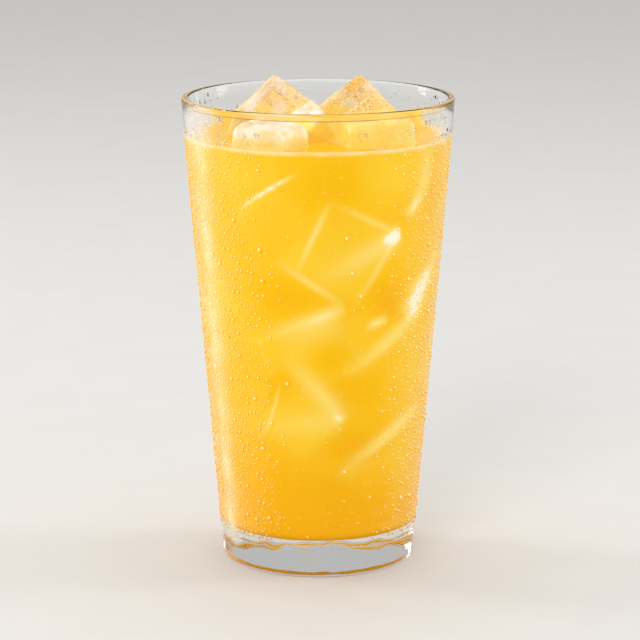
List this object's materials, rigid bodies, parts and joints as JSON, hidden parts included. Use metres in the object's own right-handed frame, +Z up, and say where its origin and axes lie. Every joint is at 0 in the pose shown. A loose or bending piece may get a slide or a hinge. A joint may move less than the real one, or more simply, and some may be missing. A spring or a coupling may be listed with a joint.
{
  "type": "glass of iced fruit juice",
  "caption": "Tall tapered drinking glass filled with opaque yellow pineapple juice, with ice standing out of the juice and beads of condensation on the outside.",
  "frame": {"origin": "centre of the ring that the glass stands on, at the table", "axes": "+Z up along the glass's axis of revolution; -Y is the front, -X the left"},
  "size_m": [0.0866, 0.0866, 0.1555],
  "materials": {
    "glass": "clear, polished, outside covered with condensation",
    "juice": "opaque cloudy yellow liquid",
    "ice": "wet, clear with bubbles and cracks"
  },
  "bodies": {
    "root": {"glass": "glass", "juice": "juice", "ice_cube_1": "ice", "ice_cube_2": "ice", "ice_cube_3": "ice", "ice_cube_4": "ice", "ice_chip": "ice"}
  },
  "joints": []
}
